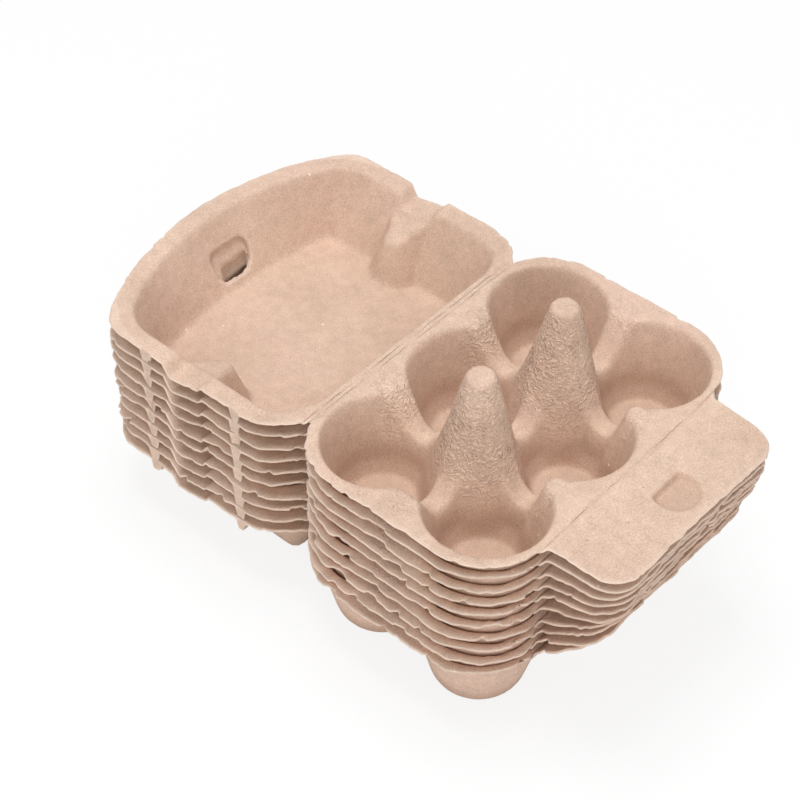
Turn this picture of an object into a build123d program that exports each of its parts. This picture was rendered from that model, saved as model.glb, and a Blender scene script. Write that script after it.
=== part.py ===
from build123d import *
import math
import os

# A nested stack of open half-dozen egg boxes in moulded pulp. Each box is one moulding: a base
# with six cells and two posts, a lid that lies open behind it, and a front flap. Millimetres, +Z up.
# Every box is drawn with its hinge on X = 0 and the top of its rim on Z = 0, then stacked.

# The stack
box_count = 10
nest_gap = 0.12

# The pulp sheet
wall = 1.4
moulding_depth = 31.0

# Egg cells
cell_rows = 2
cells_per_row = 3
cell_pitch = 47.0
cell_rim_radius = 23.0
cell_heel_radius = 16.5
cell_heel_height = 4.5
cell_floor_radius = 13.0

# Low saddles between neighbouring cells
saddle_depth = 16.0
saddle_floor_width = 5.0
saddle_heel_width = 11.0
saddle_heel_height = 2.6
saddle_draft = 32.0

# Posts between the cells
post_height = 32.5
post_tip_radius = 3.4
post_shoulder_radius = 5.6
post_shoulder_drop = 1.8
post_draft = 13.5

# Rim of the base
hinge_land = 4.3
fold_land = 2.9
end_flange = 4.5
base_front_corner_radius = 27.0
base_hinge_corner_radius = 27.5

# Lid
hinge_strip = 2.6
lid_setback = 4.5
lid_flange = 7.5
lid_overhang = 6.3
lid_bow_radius = 111.0
lid_front_corner_radius = 12.0
lid_hinge_corner_radius = 19.0
lid_wall_run = 14.5
lid_floor_bow_radius = 215.0
lid_floor_corner_radius = 4.0

# Dip in the rim at the middle of each end of the lid, and the tongue that slopes in from it
dip_depth = 6.0
dip_floor_width = 10.0
dip_heel_width = 13.0
dip_heel_height = 1.0
dip_draft = 27.0
tongue_reach = 51.5
tongue_width = 10.0
tongue_draft = 18.0
tongue_slope = 27.0
tongue_set_in = 3.3

# Nibs under the end rims of the lid, which rest on the next box down and keep the nest from jamming
nib_width = 4.5
nib_thickness = 2.0
nib_front_reach = 70.0
nib_hinge_reach = 24.0

# Latch window in the front wall of the lid
window_width = 18.0
window_height = 13.0
window_drop = 21.0
window_top_radius = 3.0
window_foot_radius = 6.0

# Creases pressed into the hinge
crease_depth = 0.45
crease_width = 1.1
crease_spacing = 2.0

# Front flap and its latch dimple
flap_length = 31.0
flap_width = 95.0
flap_corner_radius = 11.0
lowest_flap_lift = 42.0
latch_radius = 9.5
latch_floor_radius = 3.5
latch_depth = 2.0
latch_reach = 17.0
latch_heel = 4.4

# Cuts run past the faces that they open by this much
overrun = 3.0

# Worked-out sizes
cell_draft = math.degrees(math.atan2(cell_rim_radius - cell_heel_radius, moulding_depth - cell_heel_height))
steepest_draft = min(cell_draft, post_draft)
nest_pitch = (wall + nest_gap) / math.sin(math.radians(steepest_draft))

rows_span = (cell_rows - 1) * cell_pitch
row_span = (cells_per_row - 1) * cell_pitch
cells_middle_x = hinge_land + cell_rim_radius + rows_span / 2
fold_x = hinge_land + 2 * cell_rim_radius + rows_span + fold_land
base_half_length = row_span / 2 + cell_rim_radius + end_flange
lid_rim_half_length = base_half_length - lid_setback - lid_flange
lid_rim_reach = fold_x + lid_overhang
lid_draft = math.degrees(math.atan2(lid_wall_run, moulding_depth))
tongue_x = -tongue_reach
hinge_half_length = lid_rim_half_length - lid_hinge_corner_radius
nib_height = nest_pitch - wall - nest_gap

solid_depth = moulding_depth + wall + overrun
stack_middle_x = (fold_x + flap_length - lid_rim_reach - lid_flange) / 2
stack_foot_z = moulding_depth + wall


def parallel(points, distance):
    """A mitred copy of an open chain of points, moved to the right of its direction."""
    shifted = []
    for (x0, y0), (x1, y1) in zip(points, points[1:]):
        length = math.hypot(x1 - x0, y1 - y0)
        right = ((y1 - y0) / length * distance, (x0 - x1) / length * distance)
        shifted.append(((x0 + right[0], y0 + right[1]), (x1 + right[0], y1 + right[1])))
    chain = [shifted[0][0]]
    for ((ax, ay), (bx, by)), ((cx, cy), (dx, dy)) in zip(shifted, shifted[1:]):
        turn = (bx - ax) * (dy - cy) - (by - ay) * (dx - cx)
        along = ((cx - ax) * (dy - cy) - (cy - ay) * (dx - cx)) / turn
        chain.append((ax + along * (bx - ax), ay + along * (by - ay)))
    return chain + [shifted[-1][1]]


def spun(profile, closing_z):
    """The solid of revolution of a profile that starts on the axis, closed at a level."""
    face = make_face(Polyline(*profile, (profile[-1][0], closing_z), (0, closing_z), close=True))
    return revolve(Plane.XZ * face, Axis.Z)


def rise(height, draft):
    """How far a wall of this draft leans outward over a height."""
    return height * math.tan(math.radians(draft))


def channel(depth, floor_width, heel_width, heel_height, draft, length, distance):
    """A straight channel along Y with a hollowed floor and leaning sides, sunk from the rim plane."""
    heel_z = heel_height - depth
    mouth = heel_width / 2 + rise(overrun - heel_z, draft)
    half_profile = [(floor_width / 2, -depth), (heel_width / 2, heel_z), (mouth, overrun)]
    profile = parallel([(-x, z) for x, z in reversed(half_profile)] + half_profile, distance)
    top = 2 * overrun
    face = make_face(Polyline(*profile, (profile[-1][0], top), (profile[0][0], top), close=True))
    return extrude(Plane.XZ * face, length / 2, both=True)


def cell(distance):
    """The hollow of one egg cell, or its outer skin at a distance of one wall."""
    profile = [
        (0, -moulding_depth),
        (cell_floor_radius, -moulding_depth),
        (cell_heel_radius, cell_heel_height - moulding_depth),
        (cell_rim_radius + rise(overrun, cell_draft), overrun),
    ]
    return spun(parallel(profile, distance), 2 * overrun)


def post(distance):
    """One post, or the hollow under it at a distance of one wall."""
    shoulder_z = post_height - post_shoulder_drop
    foot_z = -moulding_depth - wall
    profile = [
        (0, post_height),
        (post_tip_radius, post_height),
        (post_shoulder_radius, shoulder_z),
        (post_shoulder_radius + rise(shoulder_z - foot_z, post_draft), foot_z),
    ]
    return spun(parallel(profile, distance), foot_z - wall)


def cell_places():
    """Centres of the egg cells."""
    return [
        (cells_middle_x + row * cell_pitch - rows_span / 2, place * cell_pitch - row_span / 2)
        for row in range(cell_rows)
        for place in range(cells_per_row)
    ]


def cells_and_saddles(distance):
    """Everything sunk into the base: the cells and the saddles that join neighbours."""
    saddle = channel(
        saddle_depth,
        saddle_floor_width,
        saddle_heel_width,
        saddle_heel_height,
        saddle_draft,
        cell_pitch,
        distance,
    )
    hollows = []
    for x, y in cell_places():
        hollows.append(Pos(x, y) * cell(distance))
        if y + cell_pitch / 2 < row_span / 2:
            hollows.append(Pos(x, y + cell_pitch / 2) * saddle)
        if x < cells_middle_x:
            hollows.append(Pos(cells_middle_x, y) * Rot(0, 0, 90) * saddle)
    return hollows


def posts(distance):
    """The posts at the meeting of each four cells."""
    return [
        Pos(cells_middle_x, (place + 0.5) * cell_pitch - row_span / 2) * post(distance)
        for place in range(cells_per_row - 1)
    ]


def rounded_outline(hinge_x, front_x, half_length, bow_radius, hinge_radius, front_radius):
    """A lid outline: square at the hinge, bowed outward at the front, with rounded corners."""
    corner_x = front_x + bow_radius - math.sqrt(bow_radius**2 - half_length**2)
    square_ends = Polyline(
        (corner_x, -half_length),
        (hinge_x, -half_length),
        (hinge_x, half_length),
        (corner_x, half_length),
    )
    bow = ThreePointArc((corner_x, half_length), (front_x, 0), (corner_x, -half_length))
    face = make_face(square_ends + bow)
    corners = face.vertices().sort_by(Axis.X)
    face = fillet(corners[2:], hinge_radius)
    return fillet(face.vertices().sort_by(Axis.X)[:2], front_radius)


def lid_outline(grow):
    """The lid's inner rim, grown outward in its plane."""
    return rounded_outline(
        -hinge_strip + grow,
        -lid_rim_reach - grow,
        lid_rim_half_length + grow,
        lid_bow_radius + grow,
        lid_hinge_corner_radius + grow,
        lid_front_corner_radius + grow,
    )


def lid_floor_outline(grow):
    """The lid's floor, set in from the rim by the run of its leaning walls."""
    return rounded_outline(
        -hinge_strip - lid_wall_run + grow,
        lid_wall_run - lid_rim_reach - grow,
        lid_rim_half_length - lid_wall_run + grow,
        lid_floor_bow_radius + grow,
        lid_floor_corner_radius + grow,
        lid_floor_corner_radius + grow,
    )


def lid_tongue(distance):
    """The tongue that slopes into the lid from the dip at its +Y end, with a rounded nose."""
    foot_z = -moulding_depth - wall - overrun
    half = tongue_width / 2
    side = parallel([(0, 0), (half, 0), (half + rise(-foot_z, tongue_draft), foot_z)], distance)
    nose = spun(side, foot_z - wall)
    right_half = side[1:] + [(side[-1][0], foot_z - wall)]
    section = make_face(Polyline(*right_half, *[(-x, z) for x, z in reversed(right_half)], close=True))
    body = extrude(Plane.XZ * section, -tongue_set_in - lid_flange)
    slope = math.radians(tongue_slope)
    crest = Plane(
        origin=(0, tongue_set_in, -dip_depth - distance / math.cos(slope)),
        z_dir=(0, -math.sin(slope), math.cos(slope)),
    )
    tongue = split(nose + body, bisect_by=crest, keep=Keep.BOTTOM)
    return Pos(tongue_x, lid_rim_half_length - tongue_set_in) * tongue


def lid_hollow(distance):
    """The lid's pan with its two end tongues left standing, and the dips in its end rims."""
    grow = distance / math.cos(math.radians(lid_draft))
    pan = loft([
        Pos(0, 0, -moulding_depth - distance) * lid_floor_outline(grow - rise(distance, lid_draft)),
        lid_outline(grow),
    ], ruled=True) + extrude(lid_outline(grow), overrun)
    tongue = lid_tongue(distance)
    dip = Pos(tongue_x, lid_rim_half_length + lid_flange) * channel(
        dip_depth,
        dip_floor_width,
        dip_heel_width,
        dip_heel_height,
        dip_draft,
        2 * (lid_flange + overrun),
        distance,
    )
    return [pan - [tongue, mirror(tongue, Plane.XZ)], dip, mirror(dip, Plane.XZ)]


def rim_outline(grow):
    """The whole sheet in plan: base and open lid, meeting at the hinge."""
    base = make_face(Polyline(
        (-grow, -base_half_length - grow),
        (fold_x + grow, -base_half_length - grow),
        (fold_x + grow, base_half_length + grow),
        (-grow, base_half_length + grow),
        close=True,
    ))
    ends = base.vertices().sort_by(Axis.X)
    base = fillet(ends[:2], base_hinge_corner_radius)
    base = fillet(base.vertices().sort_by(Axis.X)[-2:], base_front_corner_radius)
    return base + lid_outline(lid_flange + grow)


def below_skin(distance, grow):
    """All space under the sheet's upper skin, or under its lower skin at a distance of one wall."""
    block = Pos(0, 0, -distance) * extrude(rim_outline(grow), -solid_depth)
    block = block - cells_and_saddles(distance) - lid_hollow(distance)
    return block + posts(distance)


def hinge_creases():
    """Two shallow lines pressed along the hinge."""
    bar = extrude(
        Plane.XZ * make_face(Polyline(
            (-crease_width / 2, 0), (0, -crease_depth), (crease_width / 2, 0), (0, crease_depth), close=True
        )),
        hinge_half_length,
        both=True,
    )
    return [bar, Pos(crease_spacing) * bar]


def latch_window():
    """The hole through the lid's front wall that the flap's latch catches in."""
    face = Rectangle(window_width, window_height)
    face = fillet(face.vertices().sort_by(Axis.Y)[:2], window_foot_radius)
    face = fillet(face.vertices().sort_by(Axis.Y)[-2:], window_top_radius)
    bar = extrude(Plane.YZ * face, lid_wall_run + lid_flange)
    return Pos(-lid_rim_reach - lid_flange, 0, -window_drop) * bar


def lid_nibs():
    """Small lugs that hang from the outer edge of the lid's end rims."""
    lug = Box(nib_width, nib_thickness, nib_height + wall, align=(Align.CENTER, Align.MAX, Align.MAX))
    edge = lid_rim_half_length + lid_flange
    nibs = [Pos(-reach, edge) * lug for reach in (nib_front_reach, nib_hinge_reach)]
    return nibs + [mirror(nib, Plane.XZ) for nib in nibs]


def tray():
    """Base and open lid in one sheet of even wall."""
    sheet = below_skin(0, 0) - below_skin(wall, overrun)
    return sheet + lid_nibs() - hinge_creases() - latch_window()


def latch_dimple(distance):
    """The hollow of the latch dimple, cut straight towards the fold, or its skin one wall below."""
    draft = math.degrees(math.atan2(latch_radius - latch_floor_radius, latch_depth))
    profile = [
        (0, -latch_depth),
        (latch_floor_radius, -latch_depth),
        (latch_radius + rise(overrun, draft), overrun),
    ]
    bowl = spun(parallel(profile, distance), 2 * overrun)
    heel = Plane.YZ.offset(-latch_heel - distance)
    return Pos(latch_reach) * split(bowl, bisect_by=heel, keep=Keep.TOP)


def flap(lift):
    """The front flap with its latch dimple, bent up at the fold."""
    half = flap_width / 2
    plate = make_face(Polyline((0, -half), (flap_length, -half), (flap_length, half), (0, half), close=True))
    plate = fillet(plate.vertices().sort_by(Axis.X)[-2:], flap_corner_radius)
    under = latch_dimple(wall) & extrude(plate, -latch_depth - 2 * wall)
    panel = extrude(plate, -wall) + under - latch_dimple(0)
    bend = Pos(0, 0, -wall / 2) * Rot(90, 0, 0) * Cylinder(wall / 2, flap_width)
    turned = Pos(0, 0, -wall / 2) * Rot(0, -lift, 0) * Pos(0, 0, wall / 2) * panel
    return Pos(fold_x) * (turned + bend)


def stacked(shape, level):
    """A box in its place in the stack, with the stack's foot at the origin."""
    return Pos(-stack_middle_x, 0, stack_foot_z + level * nest_pitch) * shape


os.makedirs("parts", exist_ok=True)
sheet = tray()
for level in range(box_count):
    lift = lowest_flap_lift * (1 - level / (box_count - 1))
    carton = stacked(sheet + flap(lift), level)
    export_step(carton, f"parts/carton_{level + 1:02d}.step")
    print(f"carton_{level + 1:02d}", len(carton.solids()), round(carton.volume), carton.is_valid)
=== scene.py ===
# %% [markdown]
# # A nested stack of pulp egg boxes
#
# Ten open half-dozen egg boxes lie nested in one another. Each box is a single sheet of moulded
# paper pulp: a base with six cells and two posts, a lid that lies open behind it, and a front flap.
# The frame below is the solid model of the stack, with one node for each box. It fixes the place and
# the main sizes of each box, and this script adds the soft edges, torn rims and fibres of real pulp.

# %% Load the frame
import math
from functools import partial

import bpy
import numpy as np
from mathutils import Matrix, Vector


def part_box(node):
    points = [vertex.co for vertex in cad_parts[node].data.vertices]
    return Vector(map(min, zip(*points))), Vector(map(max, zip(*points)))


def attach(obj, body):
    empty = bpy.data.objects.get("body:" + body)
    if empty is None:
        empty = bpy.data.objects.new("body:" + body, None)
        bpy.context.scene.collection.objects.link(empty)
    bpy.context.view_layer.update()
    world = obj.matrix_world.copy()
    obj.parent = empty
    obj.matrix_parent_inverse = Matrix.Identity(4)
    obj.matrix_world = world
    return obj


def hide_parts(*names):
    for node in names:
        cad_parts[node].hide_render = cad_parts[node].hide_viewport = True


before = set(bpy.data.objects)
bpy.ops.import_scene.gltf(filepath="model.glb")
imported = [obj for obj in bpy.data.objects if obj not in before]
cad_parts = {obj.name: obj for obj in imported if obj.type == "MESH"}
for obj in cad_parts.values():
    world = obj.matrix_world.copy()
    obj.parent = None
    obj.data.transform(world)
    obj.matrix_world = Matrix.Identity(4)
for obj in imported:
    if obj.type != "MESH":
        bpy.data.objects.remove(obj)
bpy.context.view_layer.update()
box_names = sorted(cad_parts)

# %% [markdown]
# ## Where the boxes lie
#
# All ten boxes are copies of one moulding, lifted by one nesting pitch from box to box, so two
# measures of the frame place them all: the top box gives the hinge and the rim, and the tips of the
# posts on the lowest and the top box give the pitch. Inside this script a box is drawn in
# millimetres with its hinge on X = 0 and the top of its rim on Z = 0, as its mould would be.

# %% Place the hinge, the rim and the pitch
METRE = 0.001
lid_reach = 114.0
solid_post_height = 32.5

top_low, top_high = [np.array(corner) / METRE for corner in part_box(box_names[-1])]
_, lowest_high = [np.array(corner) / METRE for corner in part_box(box_names[0])]
nest_pitch = (top_high[2] - lowest_high[2]) / (len(box_names) - 1)
hinge_place = top_low[0] + lid_reach
top_rim_z = top_high[2] - solid_post_height
print("nest pitch %.3f mm, hinge at X %.2f, top rim at Z %.2f" % (nest_pitch, hinge_place, top_rim_z))

# %% [markdown]
# ## Soft corners from simple surfaces
#
# A pulp sheet has no sharp corner: wet fibres bridge every edge of the mould. The sheet has no
# overhang either, because it must lift off its mould, so its upper face is a height over each point
# of the plan. Cells, saddles, posts and the lid are each a simple height formula, and they are joined
# with a smooth minimum or maximum, which fillets the joint by itself. That is far easier to steer
# than bevelling a boolean.

# %% Smooth joints and distances
def soft_min(first, second, width):
    """The lower of two heights, with a fillet where they cross."""
    overlap = np.maximum(width - np.abs(first - second), 0.0) / width
    return np.minimum(first, second) - overlap * overlap * width / 4


def soft_max(first, second, width):
    """The higher of two heights, with a fillet where they cross."""
    return -soft_min(-first, -second, width)


def ease(value, start, end):
    """0 before start, 1 after end, and an even curve between."""
    share = np.clip((value - start) / (end - start), 0.0, 1.0)
    return share * share * (3 - 2 * share)


def rounded_corner(first, second, radius):
    """Distance outside the corner of two edges, given the distances outside each edge."""
    a = first + radius
    b = second + radius
    return np.hypot(np.maximum(a, 0), np.maximum(b, 0)) + np.minimum(np.maximum(a, b), 0) - radius


print("a corner of radius 2 rounds by %.2f mm" % rounded_corner(np.zeros(1), np.zeros(1), 2.0)[0])

# %% [markdown]
# ## The plan of one box
#
# In plan the base is a rounded rectangle, the lid has a bowed front, and the flap is a narrow tongue
# at the front fold. A signed distance gives each outline: negative inside, zero on the edge. The same
# distance later drives the pale torn fringe along the rim.

# %% Outlines of base, lid and flap
fold_x = 100.2
base_half = 74.5
base_hinge_radius = 27.5
base_front_radius = 27.0
lid_half = 70.0
lid_flange = 7.5
lid_hinge_edge = 4.9
lid_bow = 118.5
lid_hinge_radius = 26.5
lid_front_radius = 16.5
flap_length = 31.0
flap_half = 47.5
flap_radius = 11.0
flap_end = fold_x + flap_length
lid_outline = (0.0, lid_bow, lid_hinge_radius, lid_front_radius)


def base_distance(x, y):
    """Distance outside the base's rounded rectangle."""
    side = np.abs(y) - base_half
    hinge = rounded_corner(-x, side, base_hinge_radius)
    return np.maximum(hinge, rounded_corner(x - fold_x, side, base_front_radius))


def lid_distance(x, y, inset, bow, hinge_radius, front_radius):
    """Distance outside the lid's outline, moved inward by an inset."""
    side = np.abs(y) - lid_half + inset
    front = np.hypot(x + lid_reach - inset - bow, y) - bow
    front = np.where(x > bow - lid_reach, -lid_reach, front)
    hinge = rounded_corner(x - lid_hinge_edge + inset, side, hinge_radius)
    return np.maximum(hinge, rounded_corner(front, side, front_radius))


def flap_distance(x, y):
    """Distance outside the flap, which runs back under the fold."""
    side = np.abs(y) - flap_half
    return np.maximum(rounded_corner(x - flap_end, side, flap_radius), fold_x - flap_length - x)


def rim_distance(x, y):
    """Distance outside the whole sheet."""
    lid = lid_distance(x, y, *lid_outline)
    return np.minimum(np.minimum(base_distance(x, y), lid), flap_distance(x, y))


def rim_depth(x, y):
    """Distance inside the edge of the sheet, and zero outside it."""
    return np.maximum(-rim_distance(x, y), 0.0)


print("sheet reaches from X %.1f to %.1f" % (-lid_reach, flap_end))

# %% [markdown]
# ## The base: cells, saddles and posts
#
# Six round cells hold the eggs. Each wall leans so that the mould can leave it, and turns through a
# conical heel into a flat foot, which shows as a ring in each cell. Low saddles join neighbouring
# cells. At the front, a blunt nose of the rim runs in between the cells above each saddle. Two hollow
# posts stand where four cells meet. They end about 2 mm lower than on the solids, as in the photo.

# %% Height of the base
moulding_depth = 31.0
cell_pitch = 47.0
cell_columns = (27.3, 74.3)
cell_rows = (-47.0, 0.0, 47.0)
cells_middle = 50.8
post_rows = [row + cell_pitch / 2 for row in cell_rows[:-1]]
cell_rim_radius = 23.0
cell_slope = 4.08
cell_floor_radius = 13.0
heel_slope = 1.29
heel_fillet = 1.0
cell_wall_fillet = 2.2
saddle_depth = 16.0
saddle_half = 3.9
saddle_slope = 1.6
saddle_fillet = 6.0
saddle_reach = 0.6 * cell_pitch
saddle_edge_fillet = 4.0
nose_x = 86.4
nose_radius = 4.0
nose_slope = 3.4
nose_fillet = 2.4
post_top_z = 30.2
post_radius = 5.5
post_shoulder_z = 28.8
post_slope = 4.165
post_tip_fillet = 2.2
post_foot_fillet = 9.0
rim_fillet = 2.2


def cell_height(x, y, cell_x, cell_y):
    """One egg cell: a leaning round wall, a conical heel and a flat foot."""
    radius = np.hypot(x - cell_x, y - cell_y)
    heel = (radius - cell_floor_radius) * heel_slope - moulding_depth
    foot = soft_max(np.full_like(x, -moulding_depth), heel, heel_fillet)
    return soft_max(foot, (radius - cell_rim_radius) * cell_slope, cell_wall_fillet)


def saddle_height(across, along):
    """One saddle between neighbouring cells, as a channel of limited length."""
    side = (np.abs(across) - saddle_half) * saddle_slope - saddle_depth
    trough = soft_max(np.full_like(across, -saddle_depth), side, saddle_fillet)
    return np.where(np.abs(along) < saddle_reach, trough, moulding_depth)


def post_height_at(x, y, post_y):
    """One post, rounded at its tip."""
    side = post_shoulder_z - (np.hypot(x - cells_middle, y - post_y) - post_radius) * post_slope
    return soft_min(np.full_like(x, post_top_z), side, post_tip_fillet)


def base_height(x, y):
    """The whole base: a flat rim with everything sunk into it or standing on it."""
    height = np.full_like(x, moulding_depth)
    for column in cell_columns:
        for row in cell_rows:
            height = np.minimum(height, cell_height(x, y, column, row))
    for column in cell_columns:
        for post_y in post_rows:
            saddle = saddle_height(x - column, y - post_y)
            height = soft_min(height, saddle, saddle_edge_fillet)
    for row in cell_rows:
        height = soft_min(height, saddle_height(y - row, x - cells_middle), saddle_edge_fillet)
    for post_y in post_rows:
        around = np.hypot(np.minimum(x - nose_x, 0.0), y - post_y)
        height = soft_max(height, (nose_radius - around) * nose_slope, nose_fillet)
    height = soft_min(height, np.zeros_like(x), rim_fillet)
    for post_y in post_rows:
        height = soft_max(height, post_height_at(x, y, post_y), post_foot_fillet)
    return height


print("cells:", len(cell_columns) * len(cell_rows), "posts:", len(post_rows))

# %% [markdown]
# ## The lid: a pan with two end tongues
#
# The open lid is a shallow pan with a bowed front. Its wall runs from the rim outline down to a
# smaller floor outline, so the height is the share of the way between the two distances. At the
# middle of each end the rim dips, and a tongue slopes into the pan and drops to the floor. The lid
# hangs a little from its hinge, so its rim lies slightly lower than the rim of the base.

# %% Height of the lid
lid_wall_run = 14.5
lid_floor_bow = 215.0
lid_floor_radius = 2.5
lid_floor_fillet = 2.0
lid_sag = 2.2
lid_sag_run = (1.0, 16.0)
dip_depth = 6.0
dip_front = -60.5
dip_low = -57.5
dip_back = -41.8
dip_front_slope = 2.0
dip_floor_slope = 0.215
dip_back_slope = 2.4
dip_reach = 56.0
dip_fillet = 1.5
tongue_x = -51.5
tongue_axis_end = 51.0
tongue_tip_radius = 1.5
tongue_slope = 3.08
tongue_front_flare = 0.75
tongue_hinge_flare = 0.7
tongue_crest_y = 64.0
tongue_crest_slope = 0.4
tongue_fillet = 3.6


def pan_height(x, y):
    """The pan between the inner rim and the floor."""
    rim = -lid_distance(x, y, lid_flange, lid_bow - lid_flange, lid_hinge_radius - lid_flange,
                        lid_front_radius - lid_flange)
    floor = lid_distance(x, y, lid_flange + lid_wall_run, lid_floor_bow, lid_floor_radius, lid_floor_radius)
    run = np.maximum(rim + floor, lid_wall_run / 3)
    return soft_max(np.full_like(x, -moulding_depth), -moulding_depth * rim / run, lid_floor_fillet)


def dip_floor(x):
    """The slanting floor of a dip."""
    return (x - dip_low) * dip_floor_slope - dip_depth


def tongue_height(x, y):
    """The tongue at each end of the lid: a sloping crest with steep sides and a round nose."""
    reach = np.abs(y)
    beyond = np.maximum(reach - tongue_axis_end, 0.0)
    front = tongue_x - x - tongue_front_flare * beyond
    hinge = x - tongue_x - tongue_hinge_flare * beyond
    across = np.maximum(np.maximum(front, hinge), 0.0)
    around = np.hypot(across, np.minimum(reach - tongue_axis_end, 0.0))
    side = (tongue_tip_radius - around) * tongue_slope
    crest = (reach - tongue_crest_y) * tongue_crest_slope + dip_floor(x)
    return soft_min(side, crest, tongue_fillet / 2)


def dip_height(x, y):
    """The dip in each end rim, steeper at its front than towards the hinge."""
    trough = soft_max(dip_floor(x), (dip_front - x) * dip_front_slope, dip_fillet)
    trough = soft_max(trough, (x - dip_back) * dip_back_slope, dip_fillet)
    return trough + moulding_depth * ease(np.abs(y), dip_reach, dip_reach - lid_flange)


def lid_height(x, y):
    """The whole lid, with its rim sagging a little away from the hinge."""
    pan = soft_max(pan_height(x, y), tongue_height(x, y), tongue_fillet)
    pan = soft_min(pan, np.zeros_like(x), rim_fillet)
    pan = soft_min(pan, dip_height(x, y), rim_fillet / 2)
    return pan - lid_sag * ease(-x, *lid_sag_run) * (1 + pan / moulding_depth)


print("lid depth:", moulding_depth, "dip from X", dip_front, "to", dip_back)

# %% [markdown]
# ## Creases and the latch dimple
#
# Two lines are pressed along the hinge so that the lid folds there, and one along the front fold,
# where the sheet has cracked open for a short way. A dimple near the middle of the flap snaps into the
# window of the closed lid. It is D-shaped: its straight steep side faces the fold and holds the lid,
# and its round side slopes away. A faint dent lies beside it.

# %% Height of the whole sheet
crease_depth = 0.7
crease_width = 0.45
hinge_creases = (-0.3, 1.6)
latch_heel_x = 113.0
latch_x = 118.2
latch_y = 2.6
latch_radius = 10.0
latch_depth = 3.3
latch_far_share = 0.45
latch_heel_run = (latch_heel_x - 0.2, latch_heel_x + 1.4)
latch_edge_run = (-0.4, 2.8)
crack_depth = 1.0
crack_middle_y = 14.7
crack_half = 9.5
crack_taper = 4.0
crack_x = fold_x + 0.7
dent_x = 113.0
dent_y = -20.8
dent_depth = 0.5
dent_length = 4.5
dent_width = 1.3


def latch_height(x, y):
    """The latch dimple, and a faint dent beside it."""
    heel = ease(x, *latch_heel_run)
    edge = ease(latch_radius - np.hypot(x - latch_x, y - latch_y), *latch_edge_run)
    along = (x - latch_heel_x) / (latch_x + latch_radius - latch_heel_x)
    floor = 1 - (1 - latch_far_share) * np.clip(along, 0.0, 1.0)
    dent = np.exp(-(((x - dent_x) / dent_length) ** 2) - ((y - dent_y) / dent_width) ** 2)
    return -latch_depth * heel * edge * floor - dent_depth * dent


def sheet_height(x, y):
    """Height of the sheet's upper face over any point of the plan."""
    height = np.where(x > hinge_creases[0], base_height(x, y), lid_height(x, y))
    height = np.where(x > fold_x, latch_height(x, y), height)
    for crease_x in (*hinge_creases, fold_x):
        height = height - crease_depth * np.exp(-(((x - crease_x) / crease_width) ** 2))
    crack = ease(np.abs(y - crack_middle_y), crack_half, crack_half - crack_taper)
    return height - crack_depth * crack * np.exp(-(((x - crack_x) / crease_width) ** 2))


latch_middle = (np.array([latch_heel_x + 2.0]), np.array([latch_y]))
print("latch dimple %.1f mm deep" % -latch_height(*latch_middle)[0])

# %% [markdown]
# ## A grid that follows the sheet
#
# A plain square grid would leave long stretched faces on the steep cell walls. So the sheet gets a
# grid with its two long sides on the outline, and then the points are relaxed: each moves to the mean
# of its neighbours, weighted by the real length of the edges between them. Long edges pull harder, so
# points gather on the walls and the posts until the faces are about the same size everywhere. A made-up
# slope along the hinge and the fold draws points to the narrow creases too. Where the outline turns
# inward, at the hinge notch and beside the flap, the points hold still, so the grid doesn't fold over.

# %% Outline of one side
FOLD_POINTS = 21
fold_curve_deg = 10
fold_curve_run = 3.4
fold_corner = (fold_x + 0.2, flap_half + 0.4)
base_front_centre = (fold_x - base_front_radius, base_half - base_front_radius)


def arc(centre_x, centre_y, radius, start_deg, end_deg, count=48):
    """Points on an arc, in plan."""
    turn = np.radians(np.linspace(start_deg, end_deg, count))
    return np.stack([centre_x + radius * np.cos(turn), centre_y + radius * np.sin(turn)], 1)


def evenly(points, count):
    """The same chain of points, spaced evenly along its length."""
    steps = np.hypot(*np.diff(points, axis=0).T)
    along = np.concatenate([[0.0], np.cumsum(steps)])
    places = np.linspace(0.0, along[-1], count)
    return np.stack([np.interp(places, along, points[:, axis]) for axis in (0, 1)], 1)


def lid_side():
    """The lid's +Y outline, from the front corner to the hinge notch."""
    corner_y = lid_half - lid_front_radius
    reach = lid_bow - lid_front_radius
    centre_x = lid_bow - lid_reach - math.sqrt(reach**2 - corner_y**2)
    lean = math.degrees(math.asin(corner_y / reach))
    front = arc(centre_x, corner_y, lid_front_radius, 180 - lean, 90)
    hinge_centre = (lid_hinge_edge - lid_hinge_radius, lid_half - lid_hinge_radius)
    hinge = arc(*hinge_centre, lid_hinge_radius, 90, 0)
    return np.concatenate([front, hinge[base_distance(*hinge.T) > 0]])


def fold_fillet():
    """The small inward curve between the base's corner and the flap's side."""
    base_end = arc(*base_front_centre, base_front_radius, fold_curve_deg, fold_curve_deg, 1)[0]
    flap_start = np.array([fold_x + fold_curve_run, flap_half])
    share = np.linspace(0.0, 1.0, FOLD_POINTS)[:, None]
    bend = 2 * share * (1 - share) * np.array(fold_corner)
    return (1 - share) ** 2 * base_end + bend + share**2 * flap_start


def base_side():
    """The base's +Y outline, from the hinge notch to the front fold."""
    hinge = arc(base_hinge_radius, base_half - base_hinge_radius, base_hinge_radius, 180, 90)
    front = arc(*base_front_centre, base_front_radius, 90, fold_curve_deg + 1)
    outside = lid_distance(*hinge.T, *lid_outline) > 0
    return np.concatenate([hinge[outside], front, fold_fillet()[: FOLD_POINTS // 2 + 1]])


def flap_side():
    """The flap's +Y outline, from the fold to its front edge."""
    front = arc(flap_end - flap_radius, flap_half - flap_radius, flap_radius, 90, 0)
    return np.concatenate([fold_fillet()[FOLD_POINTS // 2 :], front])


print("one side of the outline: %d points" % sum(len(side()) for side in (lid_side, base_side, flap_side)))


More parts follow.
